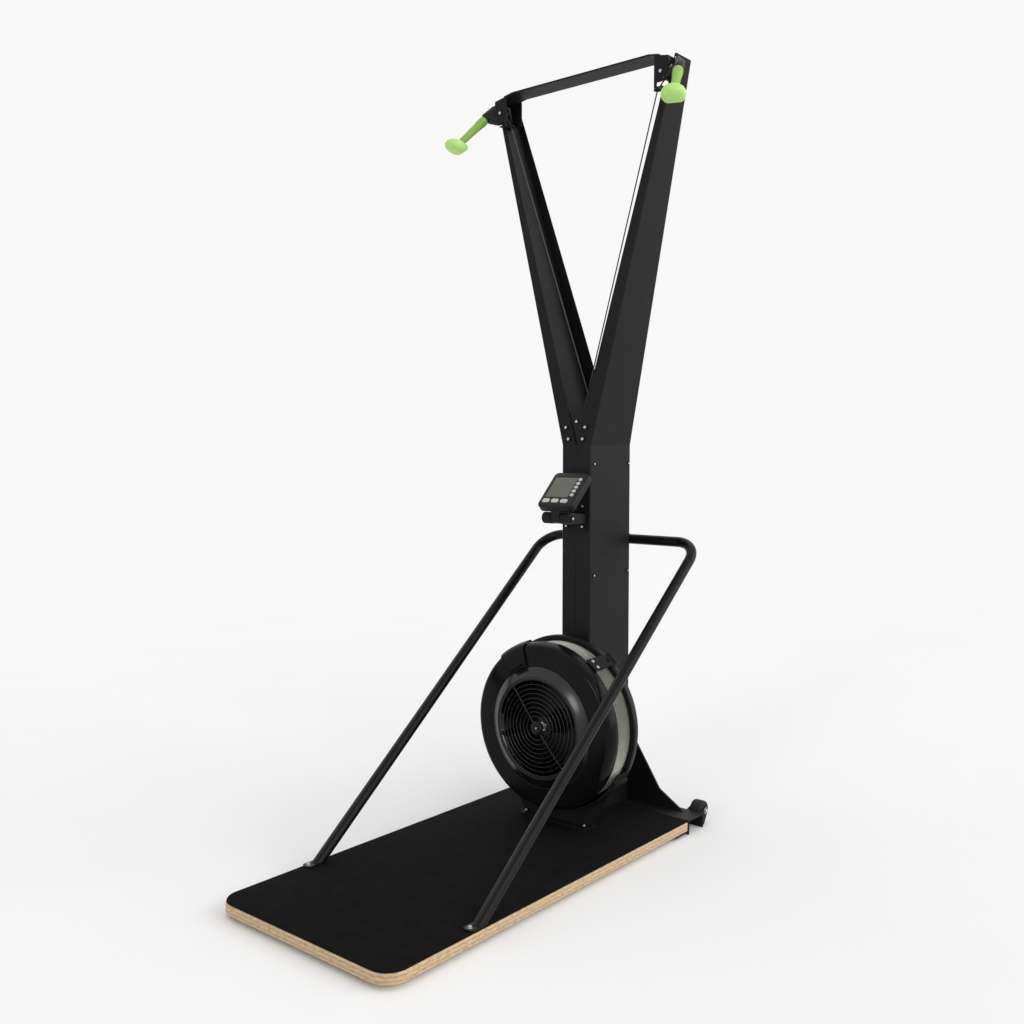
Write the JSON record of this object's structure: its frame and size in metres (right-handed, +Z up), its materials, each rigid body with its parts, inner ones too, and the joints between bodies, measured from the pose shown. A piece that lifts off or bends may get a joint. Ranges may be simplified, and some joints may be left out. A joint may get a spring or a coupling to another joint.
{
  "type": "ski ergometer",
  "caption": "Air-braked ski ergometer: forked steel mast on a standing deck, caged fan with a damper, two cord-driven pull handles, a tilting monitor and a handrail hoop.",
  "frame": {"origin": "middle of the footprint, on the floor", "axes": "+X to the right of a user facing the mast, +Y from the deck's front edge to the mast, +Z up"},
  "size_m": [0.8278, 1.342, 2.194],
  "materials": {
    "black_paint": "satin powder coat",
    "black_plastic": "fine grained",
    "zinc_steel": "bright zinc",
    "wire_mesh": "perforated, bare",
    "cord": "braided",
    "pale_key": "soft moulded",
    "plywood": "clear lacquered edge",
    "mat_rubber": "fine ribbed",
    "foot_rubber": "plain",
    "screen": "grey-green liquid crystal",
    "green_grip": "lime moulded"
  },
  "bodies": {
    "frame": {"rear_base": "black_paint", "back_plate": "black_paint", "left_mast_channel": "black_paint", "right_mast_channel": "black_paint", "idler_plate": "black_paint", "crossbar": "black_paint", "handrail_hoop": "black_paint", "hoop_saddle": "black_paint", "left_head_bracket": "black_paint", "right_head_bracket": "black_paint", "fan_grille": "black_paint", "left_cover_clip": "black_paint", "right_cover_clip": "black_paint", "fan_cradle": "black_paint", "monitor_bracket": "black_paint", "left_wheel_bracket": "black_paint", "right_wheel_bracket": "black_paint", "left_sheave_housing": "black_plastic", "right_sheave_housing": "black_plastic", "fan_front_cover": "black_plastic", "fan_rear_cover": "black_plastic", "front_bearing": "zinc_steel", "rear_bearing": "zinc_steel", "left_sheave_pin": "zinc_steel", "right_sheave_pin": "zinc_steel", "bungee_bracket": "zinc_steel", "left_drive_cord": "cord", "right_drive_cord": "cord", "return_bungee": "cord", "deck_board": "plywood", "deck_mat": "mat_rubber", "front_rubber_foot": "foot_rubber", "middle_rubber_foot": "foot_rubber", "fan_mesh_band": "wire_mesh"},
    "fan": {"fan_wheel": "black_plastic", "fan_axle": "zinc_steel"},
    "damper": {"damper_ring": "black_plastic"},
    "left_sheave_body": {"left_sheave": "black_plastic"},
    "right_sheave_body": {"right_sheave": "black_plastic"},
    "left_idler_body": {"left_idler": "black_plastic"},
    "right_idler_body": {"right_idler": "black_plastic"},
    "left_spool_body": {"left_spool": "black_plastic"},
    "right_spool_body": {"right_spool": "black_plastic"},
    "left_pull": {"left_handle": "green_grip", "left_pull_cord": "cord"},
    "right_pull": {"right_handle": "green_grip", "right_pull_cord": "cord"},
    "monitor": {"monitor_case": "black_plastic", "monitor_lens": "screen"},
    "left_wheel": {"left_transport_wheel": "foot_rubber"},
    "right_wheel": {"right_transport_wheel": "foot_rubber"},
    "monitor_key_1_body": {"monitor_key_1": "pale_key"},
    "monitor_key_2_body": {"monitor_key_2": "pale_key"},
    "monitor_key_3_body": {"monitor_key_3": "pale_key"},
    "monitor_side_key_1_body": {"monitor_side_key_1": "pale_key"},
    "monitor_side_key_2_body": {"monitor_side_key_2": "pale_key"},
    "monitor_side_key_3_body": {"monitor_side_key_3": "pale_key"},
    "monitor_side_key_4_body": {"monitor_side_key_4": "pale_key"},
    "monitor_side_key_5_body": {"monitor_side_key_5": "pale_key"}
  },
  "joints": [
    {"name": "fan_spin", "type": "hinge", "parent": "frame", "child": "fan", "pos_m": [0, 0.275, 0.333], "axis": [0, 1, 0], "continuous": true},
    {"name": "damper_set", "type": "hinge", "parent": "frame", "child": "damper", "pos_m": [0, 0.249, 0.333], "axis": [0, 1, 0], "range_deg": [-22, 22]},
    {"name": "left_handle_pull", "type": "slide", "parent": "frame", "child": "left_pull", "axis": [-0.2942, -0.6503, -0.7004], "range_m": [0, 1.2]},
    {"name": "left_sheave_turn", "type": "hinge", "parent": "frame", "child": "left_sheave_body", "pos_m": [-0.312, 0.389, 2.143], "axis": [0.4377, -0.7431, 0.5062], "range_deg": [-5, 3130.2]},
    {"name": "left_idler_turn", "type": "hinge", "parent": "frame", "child": "left_idler_body", "pos_m": [0.016, 0.43, 1.192], "axis": [0, -1, 0], "range_deg": [-5, 3442.7]},
    {"name": "left_spool_turn", "type": "hinge", "parent": "frame", "child": "left_spool_body", "pos_m": [0, 0.421, 0.333], "axis": [0, -1, 0], "range_deg": [-5, 1914.9]},
    {"name": "right_handle_pull", "type": "slide", "parent": "frame", "child": "right_pull", "axis": [0.2942, -0.6503, -0.7004], "range_m": [0, 1.2]},
    {"name": "right_sheave_turn", "type": "hinge", "parent": "frame", "child": "right_sheave_body", "pos_m": [0.312, 0.389, 2.143], "axis": [0.4377, 0.7431, -0.5062], "range_deg": [-5, 3130.2]},
    {"name": "right_idler_turn", "type": "hinge", "parent": "frame", "child": "right_idler_body", "pos_m": [-0.016, 0.446, 1.192], "axis": [0, 1, 0], "range_deg": [-5, 3442.7]},
    {"name": "right_spool_turn", "type": "hinge", "parent": "frame", "child": "right_spool_body", "pos_m": [0, 0.451, 0.333], "axis": [0, 1, 0], "range_deg": [-5, 1914.9]},
    {"name": "monitor_tilt", "type": "hinge", "parent": "frame", "child": "monitor", "pos_m": [0, 0.291, 0.926], "axis": [1, 0, 0], "range_deg": [-1, 40]},
    {"name": "monitor_key_1_press", "type": "slide", "parent": "monitor", "child": "monitor_key_1_body", "axis": [0, 0.7071, -0.7071], "range_m": [0, 0.0012], "stiffness_N_per_m": 600},
    {"name": "monitor_key_2_press", "type": "slide", "parent": "monitor", "child": "monitor_key_2_body", "axis": [0, 0.7071, -0.7071], "range_m": [0, 0.0012], "stiffness_N_per_m": 600},
    {"name": "monitor_key_3_press", "type": "slide", "parent": "monitor", "child": "monitor_key_3_body", "axis": [0, 0.7071, -0.7071], "range_m": [0, 0.0012], "stiffness_N_per_m": 600},
    {"name": "monitor_side_key_1_press", "type": "slide", "parent": "monitor", "child": "monitor_side_key_1_body", "axis": [0, 0.7071, -0.7071], "range_m": [0, 0.0012], "stiffness_N_per_m": 600},
    {"name": "monitor_side_key_2_press", "type": "slide", "parent": "monitor", "child": "monitor_side_key_2_body", "axis": [0, 0.7071, -0.7071], "range_m": [0, 0.0012], "stiffness_N_per_m": 600},
    {"name": "monitor_side_key_3_press", "type": "slide", "parent": "monitor", "child": "monitor_side_key_3_body", "axis": [0, 0.7071, -0.7071], "range_m": [0, 0.0012], "stiffness_N_per_m": 600},
    {"name": "monitor_side_key_4_press", "type": "slide", "parent": "monitor", "child": "monitor_side_key_4_body", "axis": [0, 0.7071, -0.7071], "range_m": [0, 0.0012], "stiffness_N_per_m": 600},
    {"name": "monitor_side_key_5_press", "type": "slide", "parent": "monitor", "child": "monitor_side_key_5_body", "axis": [0, 0.7071, -0.7071], "range_m": [0, 0.0012], "stiffness_N_per_m": 600},
    {"name": "left_wheel_roll", "type": "hinge", "parent": "frame", "child": "left_wheel", "pos_m": [-0.267, 0.643, 0.039], "axis": [1, 0, 0], "continuous": true},
    {"name": "right_wheel_roll", "type": "hinge", "parent": "frame", "child": "right_wheel", "pos_m": [0.267, 0.643, 0.039], "axis": [1, 0, 0], "continuous": true}
  ],
  "couplings": [
    {"joint": "left_sheave_turn", "follows": "left_handle_pull", "rad_per_m": 45.455},
    {"joint": "left_idler_turn", "follows": "left_handle_pull", "rad_per_m": 50},
    {"joint": "left_spool_turn", "follows": "left_handle_pull", "rad_per_m": 27.778},
    {"joint": "right_sheave_turn", "follows": "right_handle_pull", "rad_per_m": 45.455},
    {"joint": "right_idler_turn", "follows": "right_handle_pull", "rad_per_m": 50},
    {"joint": "right_spool_turn", "follows": "right_handle_pull", "rad_per_m": 27.778}
  ]
}
